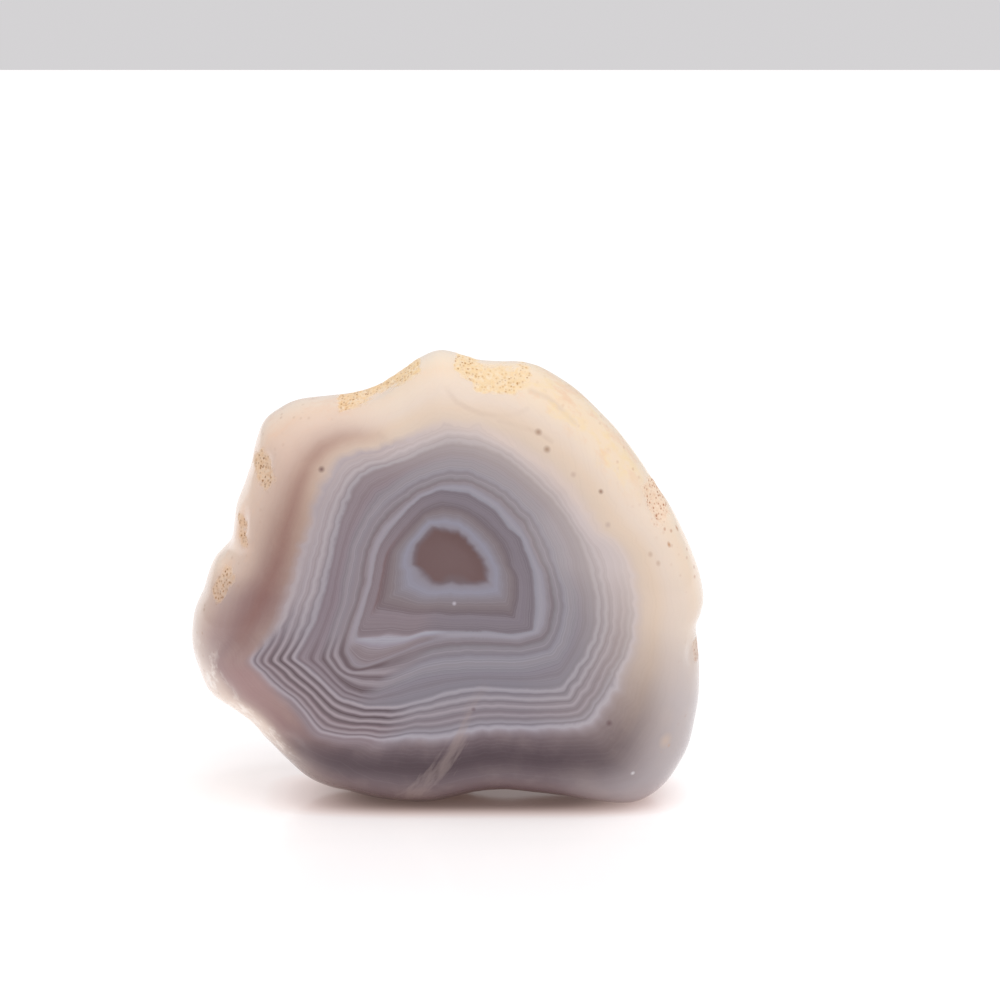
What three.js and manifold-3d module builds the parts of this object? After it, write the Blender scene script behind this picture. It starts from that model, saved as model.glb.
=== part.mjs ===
// Banded agate: a tumbled stone, one solid, standing on two small flats along its lower edge.
// Millimetres, +Z up. The banded face looks along -Y, and the origin lies on the ground under the
// middle of the stone's box.
import * as THREE from 'three';
import { mergeVertices } from 'three/addons/utils/BufferGeometryUtils.js';
import Module from 'manifold-3d';

// Driving dimensions
const THICKNESS = 20;
const MIDDLE = [0.1, 19];
const FACE_FULLNESS = 6;
const BACK_FULLNESS = 3.6;
const RIM_DEPTH = 1;
const RIM_LEAN = 2;
const SOFTENING = 1 / 24;

// How finely the surface is divided: around the rim, and from the middle of the face to that of the back
const COLUMNS = 128;
const ROWS = 26;

// The stone's outline seen from the banded face, as [x, z], clockwise from the top. The two lobes
// at the bottom dip under the ground, which cuts them flat.
const OUTLINE = [
  [-0.6, 39.05], [1.0, 38.85], [2.7, 38.35], [4.6, 38.25], [6.3, 38.25], [8.0, 37.85],
  [9.8, 36.85], [11.5, 35.65], [13.3, 33.95], [15.0, 32.15], [16.8, 29.75], [18.1, 27.75],
  [19.5, 25.65], [20.5, 23.65], [21.4, 21.55], [22.0, 19.75], [22.3, 17.95], [22.1, 16.75],
  [21.7, 15.55], [21.8, 13.95], [22.0, 12.15], [22.0, 9.45], [21.7, 7.25], [21.2, 4.95],
  [20.4, 3.25], [19.3, 1.55], [17.7, 0.2], [16.0, -0.3], [13.1, -0.05], [10.5, 0.4],
  [7.9, 0.7], [5.3, 0.95], [2.8, 0.7], [0.7, 0.1], [-1.4, -0.4], [-4.0, -0.4],
  [-6.6, -0.05], [-8.7, 0.5], [-10.5, 0.85], [-12.3, 1.65], [-14.0, 3.15], [-16.0, 5.25],
  [-17.3, 6.75], [-19.0, 7.95], [-20.8, 9.15], [-21.7, 11.05], [-22.3, 13.25], [-22.1, 15.95],
  [-21.2, 18.15], [-20.8, 19.45], [-20.2, 20.75], [-18.8, 22.35], [-18.4, 24.35],
  [-18.2, 25.65], [-17.5, 27.45], [-16.9, 29.25], [-16.5, 30.95], [-15.8, 32.75],
  [-14.5, 33.85], [-12.8, 34.65], [-10.1, 35.05], [-7.9, 35.35], [-5.8, 36.05],
  [-4.0, 37.15], [-2.3, 38.35],
];

// Hollows where patches of the stone's rough outer crust stayed below the polish, and the chips at
// its lower left edge: where, how far they reach, and how deep they go
const CRUST_HOLLOWS = [
  { at: [4.0, -4.0, 37.6], reach: 3.4, depth: 0.45 },
  { at: [-5.6, -1.5, 36.0], reach: 2.8, depth: 0.3 },
  { at: [-15.4, -4.9, 30.0], reach: 2.2, depth: 0.4 },
  { at: [-17.4, -4.2, 24.6], reach: 1.7, depth: 0.4 },
  { at: [-19.1, -4.7, 20.1], reach: 2.6, depth: 0.4 },
  { at: [18.0, -4.7, 26.7], reach: 2.2, depth: 0.4 },
  { at: [21.0, -5.0, 13.7], reach: 1.6, depth: 0.25 },
  { at: [-18.2, -6.2, 10.9], reach: 1.3, depth: 0.25 },
  { at: [-12.8, -7.3, 6.3], reach: 1.6, depth: 0.3 },
];

// Broad dents and one swell that the tumbling left on the sides and the back
const BROAD_DENTS = [
  { at: [-6, 10, 27], reach: 10, depth: 1.0 },
  { at: [11, 9, 12], reach: 8, depth: 0.7 },
  { at: [13, 8, 29], reach: 7, depth: 0.6 },
  { at: [-13, 8, 12], reach: 8, depth: -0.5 },
  { at: [-19, 8, 17], reach: 5, depth: 0.5 },
  { at: [6, 5, 38], reach: 5, depth: 0.35 },
];

const outline = new THREE.CatmullRomCurve3(
  OUTLINE.map(([x, z]) => new THREE.Vector3(x, 0, z)), true, 'catmullrom', 0.5,
);

// The outline with its small ins and outs averaged away, as the middle of the face follows it
function softOutline(turn) {
  const spread = [-1, -0.8, -0.6, -0.4, -0.2, 0, 0.2, 0.4, 0.6, 0.8, 1];
  const sum = new THREE.Vector3();
  for (const part of spread) sum.add(outline.getPoint(turn + part * SOFTENING));
  return sum.divideScalar(spread.length);
}

// Moves a point of the unit ball, whose poles lie on the Y axis, onto the stone. Each half of the
// stone is a rounded plate: nearly flat in the middle and turning over quickly at the rim. The rim
// lies further back on the left of the face than on the right.
function ontoStone(point) {
  const turn = Math.atan2(point.x, point.z) / (2 * Math.PI);
  const onFace = point.y < 0;
  const fullness = onFace ? FACE_FULLNESS : BACK_FULLNESS;
  const height = Math.abs(point.y);
  const spread = Math.hypot(point.x, point.z) ** (2 / fullness);
  const middle = new THREE.Vector3(MIDDLE[0], 0, MIDDLE[1]);
  const edge = outline.getPoint(turn).sub(middle);
  const ring = softOutline(turn).sub(middle).lerp(edge, spread ** 4);
  const rimY = RIM_DEPTH - RIM_LEAN * edge.x / Math.hypot(edge.x, edge.z);
  const faceY = onFace ? -THICKNESS / 2 : THICKNESS / 2;
  point.copy(ring).multiplyScalar(spread).add(middle);
  point.y = THREE.MathUtils.lerp(rimY, faceY, height);
}

// How far the hollows and dents pull a point of the surface in
function depthOfHollows(point) {
  let depth = 0;
  for (const hollow of [...CRUST_HOLLOWS, ...BROAD_DENTS]) {
    const distance = point.distanceTo(new THREE.Vector3(...hollow.at)) / hollow.reach;
    depth += hollow.depth * Math.exp(-2 * distance ** 2);
  }
  return depth;
}

function roundedStone() {
  const ball = new THREE.SphereGeometry(1, COLUMNS, ROWS);
  ball.deleteAttribute('normal');
  ball.deleteAttribute('uv');
  const geometry = mergeVertices(ball, 1e-6);
  const positions = geometry.attributes.position;
  const point = new THREE.Vector3();
  const normal = new THREE.Vector3();
  for (let i = 0; i < positions.count; i += 1) {
    point.fromBufferAttribute(positions, i);
    ontoStone(point);
    positions.setXYZ(i, point.x, point.y, point.z);
  }
  geometry.computeVertexNormals();
  for (let i = 0; i < positions.count; i += 1) {
    point.fromBufferAttribute(positions, i);
    normal.fromBufferAttribute(geometry.attributes.normal, i);
    point.addScaledVector(normal, -depthOfHollows(point));
    positions.setXYZ(i, point.x, point.y, point.z);
  }
  geometry.deleteAttribute('normal');
  return geometry;
}

const wasm = await Module();
wasm.setup();

function asSolid(geometry) {
  return new wasm.Manifold(new wasm.Mesh({
    numProp: 3,
    vertProperties: new Float32Array(geometry.attributes.position.array),
    triVerts: new Uint32Array(geometry.index.array),
  }));
}

function asGeometry(solid) {
  const { vertProperties, triVerts } = solid.getMesh();
  const geometry = new THREE.BufferGeometry();
  geometry.setAttribute('position', new THREE.BufferAttribute(vertProperties, 3));
  geometry.setIndex(new THREE.BufferAttribute(triVerts, 1));
  geometry.computeVertexNormals();
  return geometry;
}

// The ground that the lower edge is worn flat against
function groundBlock() {
  const depth = 10;
  const block = new THREE.BoxGeometry(80, 80, depth);
  block.translate(0, 0, -depth / 2);
  block.deleteAttribute('normal');
  block.deleteAttribute('uv');
  return mergeVertices(block);
}

const agate = new THREE.Mesh(
  asGeometry(asSolid(roundedStone()).subtract(asSolid(groundBlock()))),
  new THREE.MeshStandardMaterial({ color: '#958888', roughness: 0.2, metalness: 0 }),
);
agate.name = 'agate';

const group = new THREE.Group();
group.add(agate);

export default group;
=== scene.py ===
"""Banded agate: the nested bands, the polish and the crust of a tumbled stone that stands on its edge.

Lengths in the lists and settings are millimetres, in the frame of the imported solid. Meshes are in metres.
"""

import math

import bpy
import numpy as np
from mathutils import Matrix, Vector


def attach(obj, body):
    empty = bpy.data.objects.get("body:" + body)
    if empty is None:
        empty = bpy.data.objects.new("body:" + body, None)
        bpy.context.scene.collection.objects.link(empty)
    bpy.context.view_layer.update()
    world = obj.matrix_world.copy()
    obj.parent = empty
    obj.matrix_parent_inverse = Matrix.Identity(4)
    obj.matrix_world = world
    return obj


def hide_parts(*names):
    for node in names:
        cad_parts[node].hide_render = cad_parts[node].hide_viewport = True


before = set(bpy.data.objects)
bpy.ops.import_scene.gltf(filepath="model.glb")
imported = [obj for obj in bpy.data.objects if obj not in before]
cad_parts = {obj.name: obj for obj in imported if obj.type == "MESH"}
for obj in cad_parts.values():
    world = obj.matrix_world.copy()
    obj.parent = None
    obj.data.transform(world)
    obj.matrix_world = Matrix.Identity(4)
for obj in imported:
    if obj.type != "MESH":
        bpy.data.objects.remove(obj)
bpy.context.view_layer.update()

MM = 0.001

# The stone's shape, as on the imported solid: a rounded plate inside an outline of (x, z). The face is
# fuller than the back, and the rim lies a little behind the middle, further back on the left.
THICKNESS = 20
MIDDLE = np.array([0.1, 19])
FACE_FULLNESS = 6
BACK_FULLNESS = 3.6
RIM_DEPTH = 1
RIM_LEAN = 2
# Part of the way round over which the outline is evened out, either way, for the rings inside it
SOFTENING = 1 / 24
OUTLINE = [
    (-0.6, 39.05), (1.0, 38.85), (2.7, 38.35), (4.6, 38.25), (6.3, 38.25), (8.0, 37.85),
    (9.8, 36.85), (11.5, 35.65), (13.3, 33.95), (15.0, 32.15), (16.8, 29.75), (18.1, 27.75),
    (19.5, 25.65), (20.5, 23.65), (21.4, 21.55), (22.0, 19.75), (22.3, 17.95), (22.1, 16.75),
    (21.7, 15.55), (21.8, 13.95), (22.0, 12.15), (22.0, 9.45), (21.7, 7.25), (21.2, 4.95),
    (20.4, 3.25), (19.3, 1.55), (17.7, 0.2), (16.0, -0.3), (13.1, -0.05), (10.5, 0.4),
    (7.9, 0.7), (5.3, 0.95), (2.8, 0.7), (0.7, 0.1), (-1.4, -0.4), (-4.0, -0.4),
    (-6.6, -0.05), (-8.7, 0.5), (-10.5, 0.85), (-12.3, 1.65), (-14.0, 3.15), (-16.0, 5.25),
    (-17.3, 6.75), (-19.0, 7.95), (-20.8, 9.15), (-21.7, 11.05), (-22.3, 13.25), (-22.1, 15.95),
    (-21.2, 18.15), (-20.8, 19.45), (-20.2, 20.75), (-18.8, 22.35), (-18.4, 24.35),
    (-18.2, 25.65), (-17.5, 27.45), (-16.9, 29.25), (-16.5, 30.95), (-15.8, 32.75),
    (-14.5, 33.85), (-12.8, 34.65), (-10.1, 35.05), (-7.9, 35.35), (-5.8, 36.05),
    (-4.0, 37.15), (-2.3, 38.35),
]

# Hollows with a patch of rough crust in them: middle, reach, depth
CRUST_HOLLOWS = [
    ((4.0, -4.0, 37.6), 3.4, 0.45),
    ((-5.6, -1.5, 36.0), 2.8, 0.3),
    ((-15.4, -4.9, 30.0), 2.2, 0.4),
    ((-17.4, -4.2, 24.6), 1.7, 0.4),
    ((-19.1, -4.7, 20.1), 2.6, 0.4),
    ((18.0, -4.7, 26.7), 2.2, 0.4),
    ((21.0, -5.0, 13.7), 1.6, 0.25),
    ((-18.2, -6.2, 10.9), 1.3, 0.25),
    ((-12.8, -7.3, 6.3), 1.6, 0.3),
]
BROAD_DENTS = [
    ((-6, 10, 27), 10, 1.0),
    ((11, 9, 12), 8, 0.7),
    ((13, 8, 29), 7, 0.6),
    ((-13, 8, 12), 8, -0.5),
    ((-19, 8, 17), 5, 0.5),
    ((6, 5, 38), 5, 0.35),
]

# The growth walls of the agate on its face, from the dark nucleus out. Each has the angles, in
# degrees, of its left corner, its lower left knee and its right corner, and a closed outline of (x, z).
HEART = np.array([0.7, 22.7])
WALLS = {
    "nucleus": ((206, 240, 332), [
        (-0.9, 25.7), (1.2, 25.3), (2.0, 24.6), (3.3, 23.0), (3.6, 22.0), (3.7, 21.1), (2.8, 20.9),
        (1.3, 20.9), (0.7, 21.1), (-0.2, 20.8), (-0.9, 21.0), (-2.0, 22.2), (-2.5, 22.5),
        (-2.5, 23.2), (-2.2, 24.2),
    ]),
    "brown halo": ((211.6, 240, 317.7), [
        (6.3, 20.8), (6.1, 21.7), (5.6, 22.6), (5.4, 23.5), (5.0, 24.4), (4.4, 25.2), (2.8, 26.6),
        (1.8, 27.2), (0.7, 27.5), (-0.1, 27.6), (-1.0, 27.3), (-1.7, 26.9), (-3.1, 25.4),
        (-4.4, 23.8), (-4.7, 22.8), (-5.3, 19.7), (-5.7, 18.8), (-4.8, 18.7), (-2.7, 18.3),
        (-0.6, 18.4), (0.7, 18.2), (2.1, 18.3), (5.3, 18.1), (5.9, 17.9),
    ]),
    "grey ring": ((219, 242, 319.6), [
        (7.5, 20.8), (7.4, 22.0), (6.4, 24.8), (5.4, 25.6), (4.3, 27.1), (2.1, 28.5), (-0.1, 28.8),
        (-0.6, 28.7), (-1.9, 28.1), (-2.9, 27.2), (-4.5, 25.3), (-5.2, 24.2), (-5.6, 23.1),
        (-6.0, 20.8), (-7.3, 16.3), (-5.3, 16.5), (-4.6, 16.7), (-3.5, 16.5), (-2.8, 16.5),
        (-1.5, 16.9), (-0.7, 16.9), (3.0, 16.8), (3.4, 16.9), (5.6, 16.6), (6.4, 16.7),
        (7.5, 16.9), (7.6, 19.5),
    ]),
    "milky ring": ((219.4, 242, 319.4), [
        (7.1, 24.5), (6.5, 25.7), (4.7, 27.7), (3.5, 28.5), (2.2, 29.2), (0.7, 29.3), (-0.3, 29.1),
        (-2.0, 28.4), (-3.1, 27.5), (-5.0, 25.7), (-5.7, 24.5), (-6.1, 23.3), (-6.4, 20.8),
        (-7.8, 16.7), (-8.1, 15.4), (-8.1, 15.1), (-7.5, 13.9), (-6.8, 13.6), (-5.9, 13.9),
        (-5.0, 14.3), (-4.1, 14.7), (-3.2, 15.1), (-2.4, 15.5), (-1.5, 15.8), (-0.5, 16.1),
        (0.7, 16.2), (2.3, 16.3), (6.2, 16.1),
        (8.0, 16.6), (8.5, 17.3), (8.7, 18.6), (8.6, 20.2), (8.4, 21.6),
    ]),
    "inner lines": ((216.6, 234, 314.2), [
        (9.8, 24.1), (8.2, 27.1), (5.7, 29.4), (4.2, 30.3), (2.5, 31.1), (0.7, 31.3), (-1.0, 30.9),
        (-2.7, 30.2), (-5.5, 28.3), (-6.4, 26.9), (-7.2, 25.4), (-7.8, 23.9), (-8.5, 20.8),
        (-8.7, 19.1), (-9.8, 15.8), (-10.3, 14.5), (-8.8, 12.6), (-8.0, 11.9), (-6.9, 11.5),
        (-5.7, 11.4), (-2.1, 12.9), (-0.6, 13.2), (2.0, 13.4), (6.7, 13.4), (7.7, 13.6),
        (9.6, 14.2), (10.4, 15.4), (11.1, 17.5), (11.1, 19.7), (10.4, 21.6),
    ]),
    "wide grey band": ((212, 234, 309.8), [
        (12.2, 21.8), (12.0, 22.8), (11.3, 24.6), (10.3, 26.3), (9.1, 27.9), (7.8, 29.2),
        (5.5, 31.2), (4.7, 31.7), (2.8, 32.4), (0.7, 32.6), (-0.3, 32.4), (-3.0, 31.2),
        (-5.9, 30.3), (-6.8, 29.8), (-7.4, 29.0), (-8.5, 26.2), (-9.7, 20.8), (-10.7, 17.6),
        (-12.0, 15.2), (-12.6, 14.4), (-11.3, 13.7), (-8.7, 11.1), (-6.4, 10.4), (-4.0, 10.4),
        (-1.0, 11.2), (-0.1, 11.6), (1.4, 11.9), (3.0, 12.1), (8.1, 11.8), (9.4, 11.9),
        (9.9, 12.0), (11.5, 14.4), (12.5, 16.4), (12.7, 17.5), (12.7, 19.7),
    ]),
    "outer lines": ((207, 232.8, 309.9), [
        (15.6, 20.6), (15.0, 23.2), (14.0, 24.2), (12.7, 25.1), (10.3, 28.8), (8.7, 30.3),
        (6.0, 32.2), (3.0, 33.7), (0.7, 33.9), (-0.4, 33.7), (-5.6, 31.7), (-6.9, 31.6),
        (-8.0, 31.1), (-8.8, 30.3), (-9.4, 29.3), (-10.3, 27.2), (-11.9, 21.8), (-13.1, 18.2),
        (-14.0, 16.6), (-15.4, 14.9), (-16.4, 14.0), (-15.2, 13.0), (-13.0, 10.9), (-10.8, 7.6),
        (-8.5, 7.2), (-7.8, 7.3), (-5.5, 7.2), (-2.7, 7.9), (-0.4, 7.9), (2.8, 8.6), (5.0, 8.7),
        (7.5, 8.6), (11.5, 8.9), (12.1, 9.0), (14.3, 12.7), (15.5, 15.2), (15.8, 16.5),
        (15.9, 17.9), (15.8, 19.3),
    ]),
    "skin": ((203, 228, 307), OUTLINE),
}
# Angles at which the corners of every wall are lined up, and two between which nothing is turned
HOME_CORNERS = (210, 235, 315)
STILL_ANGLES = (30, 120)
# Past the skin, the band count goes on rising by one for each of these millimetres
SKIN_STEP = 3
# How softly the walls' corners are rounded, in quarter degrees
WALL_SOFTNESS = 4.5
# Behind the rim the pattern shifts by this in x and z and narrows, to close in at the back
BACK_SHIFT = (2.0, -1.5)
BACK_NARROWING = 0.2

# Share of the outer group's lines that shows at each angle: all of them at the lower left and the
# bottom, fewer on the left, and only the inner ones over the top
LINE_SHARE = [
    (0, 1), (25, 0.9), (50, 0.6), (80, 0.47), (115, 0.48), (127, 0.7), (160, 0.72), (204, 0.73),
    (210, 1), (218, 1), (228, 1.15), (246, 1.17), (255, 1.03), (262, 1), (360, 1),
]
# How far out the group's first line lies at each angle, in parts of a band
LINE_START = [
    (0, 0), (60, 0.02), (78, 0.12), (95, 0.06), (110, 0), (140, 0.02), (155, 0.06), (195, 0.05),
    (206, 0), (360, 0),
]

# A healed crack at the bottom: its run over the face, as (x, z)
HEALED_CRACK = [
    (3.4, 12.2), (2.2, 10.2), (1.2, 7.2), (-0.1, 4.9), (-1.6, 3.2), (-3.3, 1.2), (-4.5, -0.6),
]

# Its silt at each height spreads over about half this many millimetres
CRACK_WIDTHS = [(0, 1.7), (3, 1.7), (6, 1.4), (9, 1.0), (12, 0.7)]

# How strongly it shows, by how far up from the heart
CRACK_DOWNWARD = [(-22.7, 0.45), (-20, 0.55), (-18, 0.8), (-15, 0.8), (-12.5, 0.4), (-9.5, 0.0)]

# The iron-brown arc on the left, and faint growth lines over the top, as runs of (x, z)
IRON_ARC = [
    (-5.2, 33.1), (-7.2, 33.0), (-8.7, 32.7), (-10.1, 32.0), (-11.1, 30.9), (-12.0, 29.0),
    (-13.0, 25.8), (-13.7, 23.0), (-14.5, 20.8), (-15.9, 18.0), (-17.1, 15.8),
]
FAINT_LINES = [
    [(0.3, 36.7), (1.1, 35.8), (2.1, 35.3), (3.2, 34.9), (4.7, 34.7), (6.0, 34.8), (7.0, 35.2)],
    [(4.6, 34.4), (6.0, 34.0), (7.9, 33.4), (9.0, 32.6)],
    [(7.2, 36.5), (8.7, 35.9), (9.9, 34.9), (11.0, 33.8)],
    [(-5.4, 33.2), (-4.4, 32.6), (-3.2, 32.7)],
]

# The crust's grains, drawn coarser than real grit so that they show, and how deep they are
GRAIN_SIZE = 0.8
GRAIN_RELIEF = 0.1

# How finely the surface is divided
COLUMNS = 480
FACE_ROWS = 88
FACE_EDGE_ROWS = 34
BACK_EDGE_ROWS = 30
BACK_ROWS = 40

# Where the innermost rings lie, and where the close rows of the edge begin, in parts of the reach
FACE_INNER_SHARE = 0.012
FACE_FLAT_SHARE = 0.86
BACK_INNER_SHARE = 0.02
BACK_FLAT_SHARE = 0.7


def closed_curve(points, turns):
    """Places on the smooth closed curve through the points, at each turn from 0 to 1."""
    points = np.asarray(points, float)
    steps = np.mod(turns, 1) * len(points)
    start = np.floor(steps).astype(int)
    part = (steps - start)[:, None]
    before, here, after, beyond = (points[(start + k) % len(points)] for k in (-1, 0, 1, 2))
    leave = (after - before) / 2
    arrive = (beyond - here) / 2
    cubic = (2 * (here - after) + leave + arrive) * part**3
    square = (3 * (after - here) - 2 * leave - arrive) * part**2
    return cubic + square + leave * part + here


def row_slopes():
    """Angles from the middle of the face, over the rim, to the middle of the back."""
    face_shares = np.linspace(FACE_INNER_SHARE, FACE_FLAT_SHARE, FACE_ROWS)
    back_shares = np.linspace(BACK_FLAT_SHARE, BACK_INNER_SHARE, BACK_ROWS)
    face_flat = np.arcsin(face_shares ** (FACE_FULLNESS / 2))
    back_flat = np.arcsin(back_shares ** (BACK_FULLNESS / 2))
    face_edge = np.linspace(face_flat[-1], math.pi / 2, FACE_EDGE_ROWS + 1)[1:]
    back_edge = np.linspace(math.pi / 2, math.pi - back_flat[0], BACK_EDGE_ROWS + 1)[1:]
    return np.concatenate([face_flat, face_edge, back_edge, math.pi - back_flat[1:]])


def stone_grid(turns, slopes):
    """The smooth stone as rows of points: ring after ring from the face to the back."""
    edge = closed_curve(OUTLINE, turns) - MIDDLE
    spread = np.linspace(-SOFTENING, SOFTENING, 11)
    soft = sum(closed_curve(OUTLINE, turns + part) for part in spread) / len(spread) - MIDDLE
    rim_y = RIM_DEPTH - RIM_LEAN * edge[:, 0] / np.hypot(edge[:, 0], edge[:, 1])
    on_face = slopes[:, None] <= math.pi / 2
    height = np.abs(np.cos(slopes))[:, None]
    share = np.sin(slopes)[:, None] ** (2 / np.where(on_face, FACE_FULLNESS, BACK_FULLNESS))
    crisp = (share**4)[..., None]
    ring = (soft * (1 - crisp) + edge * crisp) * share[..., None] + MIDDLE
    flat_y = np.where(on_face, -THICKNESS / 2, THICKNESS / 2)
    depth = rim_y + (flat_y - rim_y) * height
    return np.stack([ring[..., 0], depth, ring[..., 1]], -1)


def outward_normals(grid):
    """Unit normals of the rows of points, pointing out of the stone."""
    along = np.roll(grid, -1, 1) - np.roll(grid, 1, 1)
    across = np.gradient(grid, axis=0)
    normals = np.cross(along, across)
    return normals / np.linalg.norm(normals, axis=-1, keepdims=True)


def hollow_depth(grid, hollows):
    """How far the hollows pull each point in."""
    depth = np.zeros(grid.shape[:2])
    for middle, reach, deep in hollows:
        far = np.linalg.norm(grid - middle, axis=-1) / reach
        depth += deep * np.exp(-2 * far**2)
    return depth


def wall_reach(points):
    """The wall's angle from the heart, in degrees, and its distance, at close steps along it."""
    corners = np.array(points, float)
    steps = np.linspace(0, 1, 24, endpoint=False)[:, None, None]
    run = corners + (np.roll(corners, -1, 0) - corners) * steps
    away = run.reshape(-1, 2) - HEART
    return np.degrees(np.arctan2(away[:, 1], away[:, 0])) % 360, np.hypot(away[:, 0], away[:, 1])


def lined_up(angles, corners):
    """Turns each angle so that the wall's corners come to the home angles."""
    first, second = STILL_ANGLES
    angles = np.mod(angles - first, 360) + first
    left, knee, right = (corner + np.zeros_like(angles) for corner in corners)
    still = np.zeros_like(angles)
    stops = [still + first, still + second, left, knee, right, still + first + 360]
    homes = [first, second, *HOME_CORNERS, first + 360]
    home = np.zeros_like(angles)
    for i in range(len(homes) - 1):
        inside = (angles >= stops[i]) & (angles <= stops[i + 1])
        part = (angles - stops[i]) / (stops[i + 1] - stops[i])
        home = np.where(inside, homes[i] + part * (homes[i + 1] - homes[i]), home)
    return home % 360


def band_count(x, z):
    """How many walls out from the heart each place lies, whole at a wall and in parts between two.

    Also the same with the outer group's lines spread as they show, and how far each place's angle
    is turned to line up its corners, in parts of a full turn.
    """
    quarter_degrees = np.arange(0, 360, 0.25)
    steps = range(-8, 9)
    softness = np.exp(-(np.array(steps) / WALL_SOFTNESS) ** 2)
    softness /= softness.sum()
    reaches = []
    for corners, points in WALLS.values():
        angle, reach = wall_reach(points)
        home = lined_up(angle, corners)
        order = np.argsort(home)
        straight = np.interp(quarter_degrees, home[order], reach[order], period=360)
        reaches.append(sum(np.roll(straight, step) * part for step, part in zip(steps, softness)))
    corner_table = np.array([corners for corners, _ in WALLS.values()], float)
    numbers = np.arange(1, len(reaches) + 1)
    away = np.hypot(x - HEART[0], z - HEART[1])
    angle = np.degrees(np.arctan2(z - HEART[1], x - HEART[0]))
    bands = np.full(x.shape, 5.0)
    for attempt in range(6):
        corners = [np.interp(bands, numbers, corner_table[:, k]) for k in range(3)]
        home = lined_up(angle, corners)
        inner = np.zeros_like(bands)
        found = np.zeros_like(bands)
        for reach in reaches:
            outer = np.interp(home, quarter_degrees, reach, period=360)
            found += np.clip((away - inner) / (outer - inner), 0, 1)
            inner = outer
        found += np.maximum(away - inner, 0) / SKIN_STEP
        bands = found if attempt == 0 else (bands + found) / 2
    corners = [np.interp(bands, numbers, corner_table[:, k]) for k in range(3)]
    home = lined_up(angle, corners)
    share = np.interp(home, *zip(*LINE_SHARE))
    first = 6 + np.interp(home, *zip(*LINE_START))
    lines = np.where(bands > first, 6 + (bands - first) * share, np.minimum(bands, 6))
    return bands, lines, ((home - angle) / 360 + 0.5) % 1 - 0.5


def distance_to_run(x, z, run):
    """Distance from each place to the nearest stretch of the run."""
    nearest = np.full(x.shape, 1e9)
    for (x0, z0), (x1, z1) in zip(run, run[1:]):
        length = math.hypot(x1 - x0, z1 - z0)
        part = np.clip(((x - x0) * (x1 - x0) + (z - z0) * (z1 - z0)) / length**2, 0, 1)
        nearest = np.minimum(nearest, np.hypot(x - x0 - part * (x1 - x0), z - z0 - part * (z1 - z0)))
    return nearest


def distance_to_runs(x, z, runs):
    """Distance from each place to the nearest of the runs."""
    return np.min([distance_to_run(x, z, run) for run in runs], axis=0)


def stone_mesh():
    """The stone's surface, with its bands, crust, crack and lines as values on its points."""
    turns = np.arange(COLUMNS) / COLUMNS
    slopes = row_slopes()
    smooth = stone_grid(turns, slopes)
    normals = outward_normals(smooth)
    grid = smooth - normals * hollow_depth(smooth, CRUST_HOLLOWS + BROAD_DENTS)[..., None]

    # Behind the rim the pattern closes in towards the back, as the nested shells do
    x, y, z = grid[..., 0], grid[..., 1], grid[..., 2]
    behind = np.where(slopes > math.pi / 2, -np.cos(slopes), 0)[:, None]
    narrowing = 1 + BACK_NARROWING * behind**2
    bands, lines, swing = band_count(
        HEART[0] + (x - HEART[0] + BACK_SHIFT[0] * behind) * narrowing,
        HEART[1] + (z - HEART[1] + BACK_SHIFT[1] * behind) * narrowing,
    )
    crust = np.full(bands.shape, -1.0)
    for run, half_width in CRUST_PATCHES:
        inside = 1 - distance_to_run(x, z, run) / half_width
        crust = np.maximum(crust, inside * np.clip(CRUST_END - y, 0, 1))
    point_values = {
        "bands": bands,
        "lines": lines,
        "swing": swing,
        "crack": distance_to_run(x, z, HEALED_CRACK) / np.interp(z, *zip(*CRACK_WIDTHS)),
        "iron": distance_to_run(x, z, IRON_ARC),
        "faint": distance_to_runs(x, z, FAINT_LINES),
        "crust": crust,
    }

    rows = len(slopes)
    grid[..., 2] = np.maximum(grid[..., 2], 0)
    points = [*grid.reshape(-1, 3), grid[0].mean(0), grid[-1].mean(0)]
    near, far = rows * COLUMNS, rows * COLUMNS + 1
    faces = []
    for i in range(COLUMNS):
        j = (i + 1) % COLUMNS
        faces.append((near, j, i))
        faces.append((far, (rows - 1) * COLUMNS + i, (rows - 1) * COLUMNS + j))
        for row in range(rows - 1):
            top = row * COLUMNS
            below = top + COLUMNS
            faces.append((top + i, top + j, below + j, below + i))
    mesh = bpy.data.meshes.new("agate_surface")
    mesh.from_pydata([Vector(point) * MM for point in points], [], faces)
    for name, values in point_values.items():
        attribute = mesh.attributes.new(name, "FLOAT", "POINT")
        full = np.concatenate([values.reshape(-1), [values[0].mean(), values[-1].mean()]])
        attribute.data.foreach_set("value", full.astype(np.float32))
    mesh.polygons.foreach_set("use_smooth", [True] * len(mesh.polygons))
    mesh.update()
    return mesh


def to_linear(hex_colour):
    """The linear colour, with alpha, of an sRGB hex value."""
    parts = [int(hex_colour[i:i + 2], 16) / 255 for i in (1, 3, 5)]
    return [p / 12.92 if p <= 0.04045 else ((p + 0.055) / 1.055) ** 2.4 for p in parts] + [1]


def add(tree, kind, inputs, stops=(), **settings):
    """Adds a node. Its inputs take values or other nodes' sockets, and a ramp its (place, colour) stops."""
    node = tree.nodes.new(kind)
    for name, value in settings.items():
        setattr(node, name, value)
    for number, (place, colour) in enumerate(stops):
        elements = node.color_ramp.elements
        element = elements[number] if number < 2 else elements.new(place)
        element.position = place
        element.color = to_linear(colour) if isinstance(colour, str) else [colour] * 3 + [1]
    for name, value in inputs.items():
        if isinstance(value, bpy.types.NodeSocket):
            tree.links.new(value, node.inputs[name])
        elif isinstance(value, str) and value.startswith("#"):
            node.inputs[name].default_value = to_linear(value)
        else:
            node.inputs[name].default_value = value
    return node


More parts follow.
